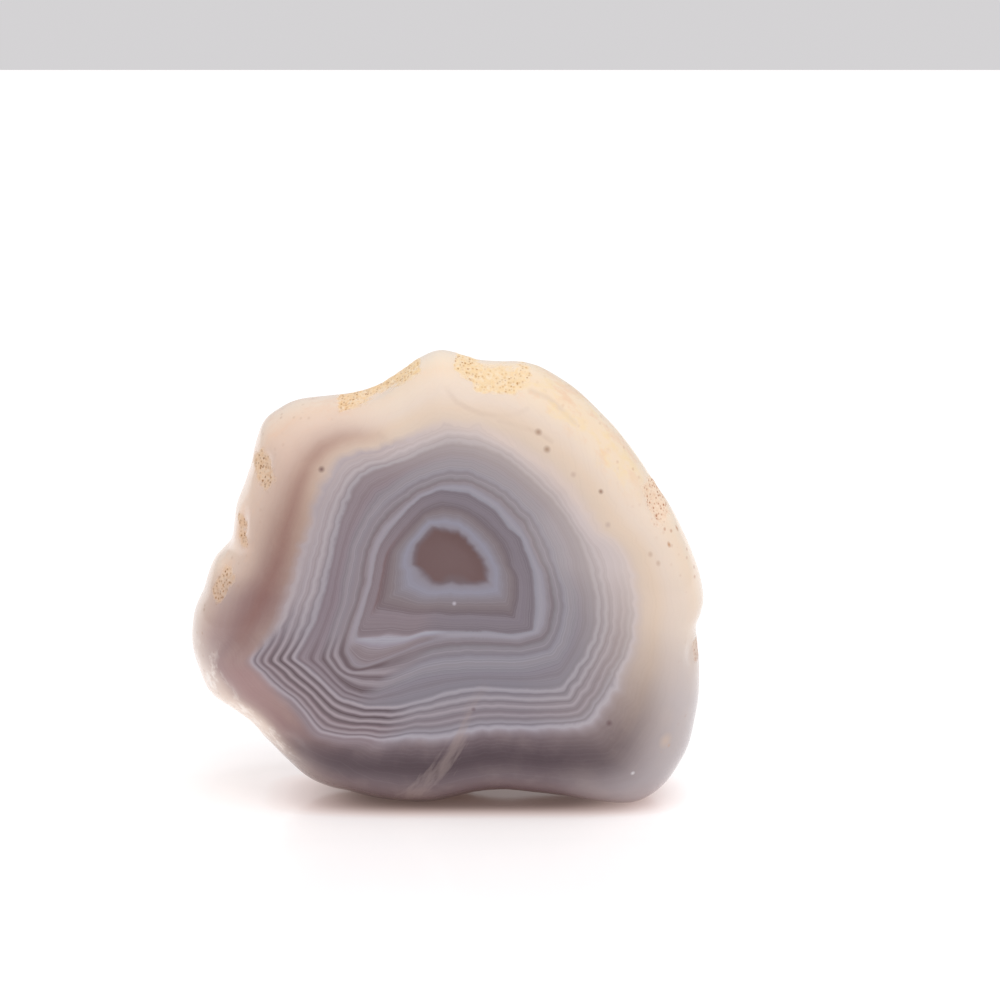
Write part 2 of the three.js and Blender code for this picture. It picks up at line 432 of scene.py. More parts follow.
# Sockets of a Mix node: the factor, the two colours and their mix, and the two plain values
FACTOR, FIRST, SECOND, MIXED = 0, 6, 7, 2
FIRST_VALUE, SECOND_VALUE = 2, 3


def crust_relief_tree():
    """Geometry Nodes: roughens the surface with grains where the crust shows."""
    tree = bpy.data.node_groups.new("crust relief", "GeometryNodeTree")
    names = {}
    for name, kind, default in (
        ("Stone", "NodeSocketGeometry", None),
        ("Grain size", "NodeSocketFloat", GRAIN_SIZE * MM),
        ("Relief", "NodeSocketFloat", GRAIN_RELIEF * MM),
        ("Seed", "NodeSocketFloat", 4.0),
        ("Material", "NodeSocketMaterial", None),
    ):
        socket = tree.interface.new_socket(name, in_out="INPUT", socket_type=kind)
        if default is not None:
            socket.default_value = default
        names[name] = socket.identifier
    tree.interface.new_socket("Rough stone", in_out="OUTPUT", socket_type="NodeSocketGeometry")
    given = add(tree, "NodeGroupInput", {}).outputs
    crust = add(tree, "GeometryNodeInputNamedAttribute", {"Name": "crust"}, data_type="FLOAT")
    scale = add(tree, "ShaderNodeMath", {0: 1.0, 1: given["Grain size"]}, operation="DIVIDE")
    grains = add(tree, "ShaderNodeTexNoise", {
        "Scale": scale.outputs[0], "W": given["Seed"], "Detail": 2.0,
    }, noise_dimensions="4D")
    grain = add(tree, "ShaderNodeMapRange", {
        "Value": grains.outputs[0], "From Min": 0.35, "From Max": 0.65, "To Min": -1.0, "To Max": 0.4,
    })
    patch = add(tree, "ShaderNodeMapRange", {
        "Value": crust.outputs["Attribute"], "From Min": 0.3, "From Max": 0.65,
    })
    height = add(tree, "ShaderNodeMath", {0: grain.outputs[0], 1: patch.outputs[0]}, operation="MULTIPLY")
    lift = add(tree, "ShaderNodeMath", {0: height.outputs[0], 1: given["Relief"]}, operation="MULTIPLY")
    normal = add(tree, "GeometryNodeInputNormal", {})
    offset = add(tree, "ShaderNodeVectorMath", {
        0: normal.outputs[0], "Scale": lift.outputs[0],
    }, operation="SCALE")
    moved = add(tree, "GeometryNodeSetPosition", {"Geometry": given["Stone"], "Offset": offset.outputs[0]})
    whole = add(tree, "GeometryNodeRealizeInstances", {"Geometry": moved.outputs[0]})
    finished = add(tree, "GeometryNodeSetMaterial", {
        "Geometry": whole.outputs[0], "Material": given["Material"],
    })
    add(tree, "NodeGroupOutput", {0: finished.outputs[0]})
    return tree, names


# The chalcedony's colours at the heart and in the haze near the skin, which also paints the glow of light
# through the thin upper right
NUCLEUS = "#745e5e"
CREAM_AND_GLOW = "#e4d1c4"

# What the polish adds to each colour under white light from all round
GLOSS = 0.035
CHALCEDONY_IOR = 1.54
# From the best polished places to the least, and on the crust
POLISH_ROUGHNESS = (0.12, 0.2)
CRUST_ROUGHNESS = 0.7
# Depth of the pits between the crust's grains, and how far light goes into the milky stone
PIT_DEPTH = 0.12
MILK_DEPTH = 0.8

# Band counts reach the ramps as parts of this many
MOST_BANDS = 10

# Fineness of the patterns: how many of each go into a millimetre of stone, and laminae into a band
CLOUDS_PER_MM = 0.28
MEAL_PER_MM = 1.1
GRAINS_PER_MM = 4.0
STRAYS_PER_MM = 1.5
LAMINAE_PER_BAND = 26

# The most that the lines crinkle and the outer zone drifts, either way, in parts of a band
CRINKLE = 0.09
DRIFT = 0.045
# The crinkle is read on rings round the heart: the first one's radius, and the step from band to band
CRINKLE_RING = 2.0
CRINKLE_STEP = 1.6

# Each ramp's stops are (band count, colour)
INNER_STOPS = [
    (0, NUCLEUS), (0.85, "#715a5a"), (0.97, "#75666b"), (1.1, "#8f8993"), (1.3, "#9492a0"),
    (1.5, "#8b848c"), (1.72, "#84797d"), (1.9, "#786c71"), (1.98, "#73686f"), (2.1, "#867d85"),
    (2.3, "#827982"), (2.55, "#827981"), (2.86, "#7b727a"), (2.97, "#837b83"), (3.12, "#95929c"),
    (3.45, "#a09ca6"), (3.8, "#9a959f"), (4.0, "#90888f"),
]
POCKET_STOPS = [
    (3.0, "#8c828a"), (3.07, "#9d99a4"), (3.14, "#aaabb8"), (3.26, "#a4a5b2"), (3.38, "#9893a0"),
    (3.5, "#8f878e"), (3.65, "#877d83"), (3.83, "#867c83"), (3.93, "#8f8992"), (4.0, "#918b95"),
]
INNER_LINE_STOPS = [
    (4.0, "#908a92"), (4.1, "#897f86"), (4.18, "#7e757b"), (4.26, "#8e8990"), (4.36, "#958f97"),
    (4.44, "#847e86"), (4.5, "#7f7983"), (4.58, "#97949e"), (4.69, "#99969f"), (4.77, "#918c94"),
    (4.84, "#949099"), (4.95, "#939099"), (5.1, "#87828d"), (5.4, "#87818a"), (5.75, "#86828c"),
    (5.93, "#88848d"), (6.0, "#928c95"),
]
INNER_LINE_CRISP_STOPS = [
    (4.0, "#918d97"), (4.08, "#857c83"), (4.18, "#5c5058"), (4.28, "#5d525a"), (4.4, "#978f97"),
    (4.48, "#a39ca3"), (4.55, "#82777f"), (4.62, "#574c54"), (4.7, "#8b828a"), (4.77, "#a19aa1"),
    (4.85, "#7e747c"), (4.92, "#564a51"), (5.02, "#756b73"), (5.18, "#938b93"), (5.26, "#8f868f"),
    (5.4, "#60555d"), (5.5, "#7e757d"), (5.7, "#938b94"), (5.8, "#857b83"), (5.88, "#756b73"),
    (6.0, "#928d96"),
]
OUTER_LINE_STOPS = [
    (6.0, "#96929b"), (6.06, "#a3a0a9"), (6.11, "#97939c"), (6.16, "#8a848d"), (6.21, "#97929b"),
    (6.27, "#a7a3ab"), (6.33, "#9f99a1"), (6.38, "#8e868e"), (6.44, "#979098"), (6.5, "#a29ba3"),
    (6.57, "#968f97"), (6.62, "#877e86"), (6.67, "#8c858d"), (6.73, "#99929a"), (6.77, "#8f8890"),
    (6.81, "#87818a"), (6.85, "#8f8b93"), (6.9, "#97959f"), (6.96, "#86828c"), (7.02, "#b6b4bf"),
    (7.1, "#98929a"),
]
OUTER_LINE_CRISP_STOPS = [
    (6.0, "#9b949e"), (6.06, "#b3aab1"), (6.1, "#8b8189"), (6.14, "#5b4f56"), (6.18, "#5f535a"),
    (6.22, "#948a91"), (6.27, "#b5aab1"), (6.31, "#8a7d84"), (6.35, "#574a51"), (6.39, "#5c5056"),
    (6.44, "#958a90"), (6.5, "#b0a4aa"), (6.54, "#85787f"), (6.57, "#5a4d53"), (6.61, "#65575d"),
    (6.66, "#93838a"), (6.71, "#a99ea4"), (6.76, "#8c7e84"), (6.8, "#706168"), (6.85, "#96888e"),
    (6.9, "#aca1a8"), (6.96, "#776970"), (7.02, "#b5abb3"), (7.1, "#928389"),
]
OUTER_STOPS = [
    (7.0, "#d6c6bd"), (7.15, "#dfccbb"), (7.3, "#e5d0bc"), (7.5, "#ead8c8"), (7.7, "#f1decb"),
    (7.85, "#f6dfc6"), (8.0, "#f9e7d0"), (8.4, "#ecd5bd"),
]

# The pocket where the milky ring widens at the lower left, by angle and by band count
POCKET_ROUND = [(0, 0), (209, 0), (213, 1), (246, 1), (254, 0.4), (262, 0), (360, 0)]
POCKET_OUTWARD = [(2.97, 0), (3.02, 1), (3.98, 1), (4.03, 0)]

# How strongly the crisp lines show, by the angle round the heart
INNER_CRISPNESS = [
    (0, 0.12), (120, 0.12), (150, 0.3), (205, 0.35), (211, 1), (236, 1), (241, 0.35), (252, 0.15),
    (360, 0.12),
]
OUTER_CRISPNESS = [
    (0, 0), (75, 0), (90, 0.08), (150, 0.15), (204, 0.25), (210, 1), (249, 1), (257, 0.33),
    (312, 0.33), (330, 0.2), (350, 0.1), (360, 0),
]

# The layers over the nucleus, the bands and the lines: colour, share by angle, share by band count
INNER_VEILS = [
    # The nucleus is redder along its top and greyer along its foot
    ("#684f4d", [(0, 0.6), (30, 0.8), (85, 1), (120, 0.5), (150, 0), (300, 0), (320, 0.5), (360, 0.6)],
     [(0.5, 0), (0.75, 0.45), (0.88, 0.6), (0.98, 0)]),
    ("#74686d", [(0, 0), (230, 0), (245, 0.7), (290, 0.7), (305, 0), (360, 0)],
     [(0.5, 0), (0.8, 0.7), (0.95, 0.7), (1.0, 0)]),
    # Rusty line that hems the brown halo on the left
    ("#674f52", [(0, 0), (110, 0), (130, 0.3), (150, 0.5), (175, 1), (207, 1), (212, 0), (360, 0)],
     [(1.85, 0), (1.97, 0.45), (2.08, 0.8), (2.2, 0.6), (2.32, 0)]),
    # Grey line that hems it over the top
    ("#6d6267", [(0, 0.35), (30, 0.75), (90, 0.6), (120, 0.85), (150, 0.4), (170, 0), (340, 0),
                 (360, 0.35)],
     [(1.98, 0), (2.08, 0.6), (2.15, 0.8), (2.24, 0.35), (2.34, 0)]),
    # Warmth over the lines on the left
    ("#a58a88", [(0, 0), (90, 0), (140, 0.6), (175, 1), (235, 1), (250, 0.2), (280, 0), (360, 0)],
     [(1.6, 0), (2.2, 0.2), (6.0, 0.12), (6.6, 0.08), (7, 0)]),
    # Plum tinge in the wide grey band on the left
    ("#8a6f76", [(0, 0), (70, 0), (95, 0.3), (125, 1), (200, 1), (212, 0.5), (235, 0), (360, 0)],
     [(4.9, 0), (5.2, 0.25), (5.9, 0.25), (6.02, 0)]),
    # Milk over the first dark line under the pocket, where it fades out
    ("#877c82", [(0, 0), (230, 0), (234, 0.75), (244, 0.7), (251, 0), (360, 0)],
     [(4.02, 0), (4.1, 0.75), (4.3, 0.85), (4.42, 0.25), (4.5, 0)]),
    # Cream haze over the upper right, brightened there as painted glow of light through the thin stone
    (CREAM_AND_GLOW, [(0, 0.85), (30, 1), (70, 1), (95, 0.8), (110, 0.6), (135, 0.35), (160, 0.12), (190, 0),
             (300, 0), (325, 0.2), (342, 0.55), (360, 0.85)],
     [(3.8, 0.0), (4.6, 0.1), (5.5, 0.3), (6.3, 0.45), (6.8, 0.7), (7.1, 0.95), (7.4, 1)]),
    # Lilac milk over the lines on the upper right
    ("#e4dbdd", [(0, 1), (20, 1), (32, 0.5), (95, 0.5), (112, 0.3), (125, 0), (338, 0), (352, 0.5),
                 (360, 1)],
     [(3.9, 0), (4.05, 0.11), (4.3, 0.08), (4.7, 0.06), (5.1, 0.17), (5.6, 0.08), (6.06, 0.08),
      (6.33, 0.22), (6.62, 0.38), (6.9, 0.3), (7.1, 0.1)]),
    # Paler milk over the outer lines on the left
    ("#d8caca", [(0, 0), (93, 0), (108, 0.9), (125, 1), (160, 1), (195, 0.8), (206, 0), (360, 0)],
     [(6, 0), (6.1, 0.05), (6.25, 0.13), (6.33, 0.26), (6.5, 0.2), (6.6, 0.3), (6.75, 0.22), (6.9, 0.42),
      (7, 0.36)]),
    # Milky hem outside the last line on the left
    ("#b4a9ad", [(0, 0), (95, 0), (120, 0.5), (150, 1), (203, 1), (209, 0), (360, 0)],
     [(6.92, 0), (6.98, 0.7), (7.04, 0.85), (7.2, 0.7)]),
]

# How far the lines crinkle at each angle, in parts of a band
CRINKLE_ROUND = [
    (0, 1), (95, 0.9), (200, 0.8), (211, 0.35), (245, 0.35), (310, 0.35), (320, 1), (360, 1),
]

# The layers over the cream outer zone: colour (one, or by angle), share by angle, share by band count
OUTER_VEILS = [
    # Grey chalcedony under the lower side
    ("#84747a", [(0, 0), (228, 0), (238, 0.7), (250, 1), (300, 1), (318, 0.8), (332, 0.4), (345, 0.06),
                 (360, 0)],
     [(7, 1), (8.3, 1)]),
    # Clear lilac skin at the lower right, lightened with a painted reflection of the white table on the
    # lower bevel
    ("#c6bfc3", [(0, 0.05), (15, 0), (300, 0), (313, 0.8), (332, 0.85), (345, 0.25), (360, 0.05)],
     [(7.3, 0), (7.7, 0.8), (8, 1), (8.3, 0.8)]),
    # Smoky patch at the left tip
    ("#8a7a82", [(0, 0), (190, 0), (196, 0.7), (206, 1), (213, 0.6), (221, 0), (360, 0)],
     [(7.35, 0), (7.5, 0.75), (7.7, 0.85), (7.85, 0.6), (8, 0.3)]),
    # Pink blush over the left
    ("#dcb5a6", [(0, 0), (110, 0), (130, 0.5), (150, 0.7), (205, 0.6), (214, 0), (360, 0)],
     [(7.1, 0), (7.3, 0.5), (7.8, 0.6), (8, 0.3), (8.2, 0.2)]),
    # Brown shade along the iron arc
    ([(0, "#a27f74"), (150, "#a27f74"), (175, "#94746c"), (196, "#826466"), (208, "#876c6d"),
      (218, "#9c7d7d"), (360, "#9c7d7d")],
     [(0, 0), (125, 0), (150, 0.35), (170, 0.75), (195, 0.95), (212, 0.9), (218, 0.5), (224, 0),
      (360, 0)],
     [(7, 0.6), (7.08, 0.8), (7.3, 0.9), (7.45, 0.8), (7.6, 0.48), (7.75, 0.22), (7.9, 0.06),
      (8.1, 0.05)]),
    # Red-brown strip along the lower left
    ([(0, "#a58485"), (216, "#a58485"), (228, "#957676"), (237, "#816a6d"), (246, "#6d5c62"),
      (360, "#6d5c62")],
     [(0, 0), (206, 0), (213, 0.85), (228, 1), (246, 1), (254, 0), (360, 0)],
     [(7, 0.7), (7.08, 0.9), (7.35, 0.97), (7.47, 0.85), (7.58, 0.45), (7.68, 0.15), (7.78, 0)]),
    # Plum shade along the bottom
    ("#53444a", [(0, 0), (231, 0), (237, 0.5), (243, 0.75), (250, 0.9), (260, 1), (300, 1),
                 (312, 0.85), (322, 0.45), (335, 0.12), (350, 0), (360, 0)],
     [(7.06, 0), (7.13, 0.4), (7.22, 0.7), (7.32, 0.95), (7.4, 1), (7.48, 0.8), (7.6, 0.5), (7.75, 0.35),
      (8, 0.35), (8.4, 0.4)]),
    # Bruised, chipped edge at the lower left, paled further with a painted highlight where the rounded rim
    # catches the light
    ("#f3e0d5", [(0, 0), (205, 0), (213, 0.7), (227, 0.7), (234, 0.35), (240, 0), (360, 0)],
     [(7.55, 0), (7.67, 0.7), (8, 0.95), (8.2, 0.3)]),
    # Yellow tinge over the upper right rim, warmed further as painted glow of light through the thin rim
    ("#fae3c0", [(0, 0), (15, 0), (30, 0.5), (62, 0.6), (75, 0.1), (85, 0), (360, 0)],
     [(7.45, 0), (7.7, 0.5), (7.9, 0.8), (8.2, 0.3)]),
    # Painted shade under the foot, where the stone meets the table
    ("#6b5a5a", [(0, 0), (231, 0), (240, 0.7), (249, 0.9), (258, 0.7), (290, 0.6), (305, 0.2),
                 (314, 0), (360, 0)],
     [(7.65, 0), (7.82, 0.5), (8, 0.9), (8.4, 0.7)]),
]

# How strongly the iron arc shows, by angle and by distance
IRON_ROUND = [
    (0, 0), (108, 0), (118, 0.2), (127, 0.5), (138, 0.7), (200, 0.8), (210, 0.4), (220, 0), (360, 0),
]
IRON_ACROSS = [(0, 0.72), (0.35, 0.56), (0.8, 0.28), (1.4, 0.09), (2, 0)]

# Colours by angle of the crust and of its specks: pinkish on the right, yellow on top, tan on the left
CRUST_COLOURS = [
    (0, "#f3d3bc"), (40, "#f6d3b0"), (60, "#f8dbb0"), (100, "#f7d8a8"), (130, "#f0cb9d"),
    (155, "#e6be8d"), (180, "#e8c298"), (200, "#e8c298"), (340, "#f0d3c0"), (360, "#f3d3bc"),
]
SPECK_COLOURS = [
    (0, "#ad673f"), (40, "#ad673f"), (60, "#c08f58"), (100, "#b37c48"), (150, "#93663e"),
    (200, "#996b40"), (340, "#b08064"), (360, "#ad673f"),
]

# How solid the crust is, and how heavily speckled, by angle
CRUST_BODY = [
    (0, 0.45), (40, 0.6), (55, 0.9), (135, 0.85), (150, 0.5), (200, 0.4), (340, 0.35), (360, 0.45),
]
SPECKLE = [
    (0, 1), (64, 0.9), (71, 0.9), (75, 0.45), (81, 0.5), (84, 1), (92, 1), (100, 0.8), (130, 0.8),
    (150, 1), (360, 1),
]

# Where loose specks are strewn past the patches: by angle and by band count
STRAY_ROUND = [
    (0, 0.8), (8, 0.9), (20, 0.9), (32, 0.4), (60, 0.3), (80, 0), (120, 0), (132, 0.3), (150, 0.6),
    (205, 0.6), (232, 0.7), (240, 0), (325, 0), (335, 0.5), (345, 0.2), (360, 0.8),
]
STRAY_OUTWARD = [(7.55, 0), (7.68, 0.35), (7.85, 1), (8.2, 0.8)]

# Patches of the rough crust, at their runs of (x, z) with half their width
CRUST_PATCHES = [
    ([(3.2, 37.2), (5.6, 37.1)], 1.2),
    ([(5.6, 37.2), (6.7, 37.6)], 0.85),
    ([(1.4, 38.4), (2.6, 37.7)], 0.9),
    ([(-8.6, 35.0), (-7.0, 35.6), (-5.7, 36.3), (-4.0, 37.2), (-2.6, 38.0)], 0.8),
    ([(-15.5, 30.1), (-15.1, 29.2)], 1.3),
    ([(-17.4, 25.1), (-17.2, 24.8)], 0.6),
    ([(-17.1, 23.8), (-17.0, 23.5)], 0.65),
    ([(-18.4, 20.5), (-19.3, 18.9)], 0.95),
    ([(17.6, 27.8), (18.3, 25.9)], 1.15),
    ([(21.5, 14.4), (21.6, 13.1)], 0.45),
]
# They fade out over the millimetre in front of this depth, behind the rim
CRUST_END = 3

# Mottled stains on the rim, one partly a painted highlight: colour, patches per millimetre, share, share by
# angle, share by band count
STAINS = [
    # Ochre, in two tints, on the upper right
    ("#f8deae", 0.55, 0.6, [(0, 0), (16, 0), (28, 1), (66, 1), (76, 0), (360, 0)],
     [(7.45, 0), (7.65, 0.7), (7.9, 1), (8.2, 0.5)]),
    ("#f1c8a5", 0.42, 0.55, [(0, 0), (16, 0), (28, 1), (66, 1), (76, 0), (360, 0)],
     [(7.45, 0), (7.65, 0.7), (7.9, 1), (8.2, 0.5)]),
    # Bruised white on the lower left edge, with a painted highlight where the rounded rim catches the light
    ("#fff6ee", 0.6, 0.8, [(0, 0), (205, 0), (212, 1), (234, 1), (241, 0), (360, 0)],
     [(7.5, 0), (7.66, 0.9), (8.1, 1), (8.4, 0.3)]),
    # Peach on the left edge
    ("#efc6a8", 0.5, 0.5, [(0, 0), (118, 0), (132, 0.9), (188, 0.9), (197, 0), (360, 0)],
     [(7.6, 0), (7.8, 0.8), (8.1, 0.9), (8.4, 0.2)]),
]

# Where the fine laminae show: by band count and by angle
LAMINAE_OUTWARD = [
    (1.1, 0), (1.4, 0.3), (2, 0.7), (4, 0.8), (5, 0.8), (6.2, 0.5), (7, 0.4), (7.1, 0.16),
    (7.6, 0.14), (7.9, 0),
]
LAMINAE_ROUND = [(0, 0.9), (226, 1), (305, 1), (330, 0.9), (360, 0.9)]

# Single pinhead spots on the face: place, radius, colour
SPOTS = [
    ((-10.1, -8.7, 30.3), 0.32, "#6b5050"),
    ((7.9, -8.4, 33.4), 0.36, "#a98a76"),
    ((8.6, -8.8, 32.0), 0.36, "#a68872"),
    ((13.1, -8.5, 28.4), 0.26, "#8c6a58"),
    ((13.9, -9.5, 8.8), 0.32, "#6d5558"),
    ((2.5, -9.9, 10.1), 0.22, "#74626a"),
    ((10.8, -8.9, 29.9), 0.3, "#cbb4a4"),
    ((13.7, -9.1, 25.7), 0.3, "#c8b2a6"),
    ((17.3, -8.1, 23.0), 0.3, "#cdb39f"),
    ((18.0, -7.9, 22.2), 0.3, "#cdb39f"),
    ((19.0, -6.3, 23.5), 0.3, "#b97f4e"),
    ((19.8, -3.6, 24.4), 0.35, "#b97f4e"),
    ((18.8, -7.2, 6.7), 0.8, "#cbb6a8"),
    ((18.6, -7.4, 5.6), 0.3, "#c9a283"),
    ((19.2, -6.9, 6.1), 0.25, "#c9a283"),
    ((20.2, -5.6, 3.9), 0.4, "#c49f8c"),
    ((0.9, -10.0, 19.2), 0.2, "#c8c2cc"),
    ((16.0, -7.9, 4.0), 0.22, "#e6e2e6"),
]


def along(tree, value, stops, span=None):
    """The colour or the share that a value has along stops of (place, colour or share).

    Where a span is given, the value is already the place divided by it.
    """
    low, high = (0, span) if span else (stops[0][0], stops[-1][0])
    if not span:
        spread = add(tree, "ShaderNodeMapRange", {"Value": value, "From Min": low, "From Max": high})
        value = spread.outputs[0]
    places = [((place - low) / (high - low), what) for place, what in stops]
    return add(tree, "ShaderNodeValToRGB", {"Fac": value}, places).outputs[0]


def product(tree, factors):
    """The factors multiplied together."""
    result = factors[0]
    for factor in factors[1:]:
        result = add(tree, "ShaderNodeMath", {0: result, 1: factor}, operation="MULTIPLY").outputs[0]
    return result


def laid_over(tree, under, colour, *shares):
    """The under colour with another laid over it, as strongly as the shares multiply to."""
    mix = add(tree, "ShaderNodeMix", {
        FACTOR: product(tree, shares), FIRST: under, SECOND: colour,
    }, data_type="RGBA")
    return mix.outputs[MIXED]


def agate_material():
    """Chalcedony grown in bands, tumbled and polished: fine nested lines under an even, waxy gloss."""
    material = bpy.data.materials.new("banded chalcedony, polished")
    material.use_nodes = True
    tree = material.node_tree
    tree.nodes.clear()
    values = {}
    for name in ("bands", "lines", "swing", "crust", "crack", "iron", "faint"):
        values[name] = add(tree, "ShaderNodeAttribute", {}, attribute_name=name).outputs["Fac"]

    metres = add(tree, "ShaderNodeTexCoord", {}).outputs["Object"]
    place = add(tree, "ShaderNodeVectorMath", {0: metres, "Scale": 1 / MM}, operation="SCALE").outputs[0]
    from_heart = add(tree, "ShaderNodeVectorMath", {
        0: place, 1: (HEART[0], 0, HEART[1]),
    }, operation="SUBTRACT")
    sides = add(tree, "ShaderNodeSeparateXYZ", {0: from_heart.outputs[0]}).outputs
    radians = add(tree, "ShaderNodeMath", {0: sides["Z"], 1: sides["X"]}, operation="ARCTAN2")
    swung = add(tree, "ShaderNodeMath", {
        0: radians.outputs[0], 1: 1 / math.tau, 2: values["swing"],
    }, operation="MULTIPLY_ADD")
    turn = add(tree, "ShaderNodeMath", {0: swung.outputs[0], 1: 1.0, 2: 0.0}, operation="WRAP").outputs[0]

    def by_turn(stops):
        """The colour or share by the angle round the heart."""
        return along(tree, turn, stops, 360)

    def counted(count, shift):
        """A band count with a shift, as a part of the most bands."""
        total = add(tree, "ShaderNodeMath", {0: count, 1: shift}, operation="ADD").outputs[0]
        return add(tree, "ShaderNodeMath", {0: total, 1: 1 / MOST_BANDS}, operation="MULTIPLY").outputs[0]

    def by_band(count, stops):
        """The colour or share by the band count."""
        return along(tree, count, stops, MOST_BANDS)

    # The crinkle of the lines is nearly the same from line to line outwards, so it is read by direction
    flat_way = add(tree, "ShaderNodeVectorMath", {
        0: from_heart.outputs[0], 1: (1, 0, 1),
    }, operation="MULTIPLY")
    way = add(tree, "ShaderNodeVectorMath", {0: flat_way.outputs[0]}, operation="NORMALIZE")
    reach = add(tree, "ShaderNodeMath", {
        0: values["lines"], 1: CRINKLE_STEP, 2: CRINKLE_RING,
    }, operation="MULTIPLY_ADD")
    ring = add(tree, "ShaderNodeVectorMath", {
        0: way.outputs[0], "Scale": reach.outputs[0],
    }, operation="SCALE")
    crinkle = add(tree, "ShaderNodeTexNoise", {
        "Vector": ring.outputs[0], "Scale": 1.0, "Detail": 1.5, "Roughness": 0.5,
    })
    swell = add(tree, "ShaderNodeMapRange", {
        "Value": crinkle.outputs[0], "From Min": 0, "From Max": 1, "To Min": -CRINKLE, "To Max": CRINKLE,
    }).outputs[0]
    wave = product(tree, [swell, by_turn(CRINKLE_ROUND)])
    lines = counted(values["lines"], wave)
    bands = counted(values["bands"], wave)

    colour = by_band(bands, INNER_STOPS)
    for start, soft, crisp, crispness in (
        (4.0, INNER_LINE_STOPS, INNER_LINE_CRISP_STOPS, INNER_CRISPNESS),
        (6.0, OUTER_LINE_STOPS, OUTER_LINE_CRISP_STOPS, OUTER_CRISPNESS),
    ):
        lined = laid_over(tree, by_band(lines, soft), by_band(lines, crisp), by_turn(crispness))
        past = add(tree, "ShaderNodeMath", {0: lines, 1: start / MOST_BANDS}, operation="GREATER_THAN")
        colour = laid_over(tree, colour, lined, past.outputs[0])
    pocket = by_band(bands, POCKET_STOPS)
    colour = laid_over(tree, colour, pocket, by_turn(POCKET_ROUND), by_band(bands, POCKET_OUTWARD))
    for veil, around, outward in INNER_VEILS:
        colour = laid_over(tree, colour, veil, by_turn(around), by_band(bands, outward))

    # Clouds break up the veils of the outer zone
    clouds = add(tree, "ShaderNodeTexNoise", {
        "Vector": place, "Scale": CLOUDS_PER_MM, "Detail": 4.0, "Roughness": 0.55,
    })
    cloud = along(tree, clouds.outputs[0], [(0.3, 0.88), (0.5, 0.98), (0.62, 1.0)], 1)
    drift = add(tree, "ShaderNodeMapRange", {
        "Value": clouds.outputs[0], "From Min": 0, "From Max": 1, "To Min": -DRIFT, "To Max": DRIFT,
    })
    shells = counted(values["bands"], drift.outputs[0])
    outer = by_band(shells, OUTER_STOPS)
    for veil, around, outward in OUTER_VEILS:
        tint = veil if isinstance(veil, str) else by_turn(veil)
        outer = laid_over(tree, outer, tint, by_turn(around), by_band(shells, outward), cloud)
    past_lines = by_band(bands, [(7.02, 0.0), (7.06, 0.5), (7.15, 1.0)])
    colour = laid_over(tree, colour, outer, past_lines)

    # Fine laminae run along the bands, a little paler and darker, and coarser than real ones to show
    laminae = add(tree, "ShaderNodeTexNoise", {
        "W": lines, "Scale": LAMINAE_PER_BAND * MOST_BANDS, "Detail": 2.0,
    }, noise_dimensions="1D")
    for tint, stops in (("#c4bcc4", [(0.5, 0.0), (0.7, 0.16)]), ("#5a5059", [(0.3, 0.16), (0.5, 0.0)])):
        colour = laid_over(tree, colour, tint, along(tree, laminae.outputs[0], stops, 1),
                           by_band(bands, LAMINAE_OUTWARD), by_turn(LAMINAE_ROUND))

    # The iron arc is a soft stain along its run, and the faint lines are hair-thin
    stain = along(tree, values["iron"], IRON_ACROSS)
    front = along(tree, sides["Y"], [(-1, 1.0), (2, 0.0)])
    colour = laid_over(tree, colour, "#8f6862", stain, by_turn(IRON_ROUND), cloud)
    hair = along(tree, values["faint"], [(0, 0.3), (0.1, 0.22), (0.28, 0.0)])
    broken = along(tree, clouds.outputs[0], [(0.35, 0.3), (0.6, 1.0)], 1)
    colour = laid_over(tree, colour, "#c0a999", hair, broken, front)

    for tint, scale, share, around, outward in STAINS:
        mottle = add(tree, "ShaderNodeTexNoise", {
            "Vector": place, "Scale": scale, "Detail": 5.0, "Roughness": 0.65,
        })
        patches = along(tree, mottle.outputs[0], [(0.5, 0.0), (0.62, share)], 1)
        colour = laid_over(tree, colour, tint, patches, by_turn(around), by_band(shells, outward))

    # The healed crack: pale silt in strands along its run, which fades out towards the heart
    strands = add(tree, "ShaderNodeMapping", {
        "Vector": place, "Rotation": (0, math.radians(-61), 0), "Scale": (2.6, 1.0, 0.3),
    }, vector_type="TEXTURE")
    silt = add(tree, "ShaderNodeTexNoise", {"Vector": strands.outputs[0], "Scale": 1.0, "Detail": 3.0})
    ragged = add(tree, "ShaderNodeMath", {
        0: silt.outputs[0], 1: 1.3, 2: values["crack"],
    }, operation="MULTIPLY_ADD")
    filled = along(tree, ragged.outputs[0], [(0.5, 0.55), (0.85, 0.4), (1.25, 0.0)])
    low = along(tree, sides["Z"], CRACK_DOWNWARD)
    colour = laid_over(tree, colour, "#ac9b96", filled, low, front)

    for centre, radius, tint in SPOTS:
        away = add(tree, "ShaderNodeVectorMath", {0: place, 1: centre}, operation="DISTANCE")
        spot = along(tree, away.outputs["Value"], [(radius * 0.2, 0.75), (radius * 1.1, 0.0)])
        colour = laid_over(tree, colour, tint, spot)
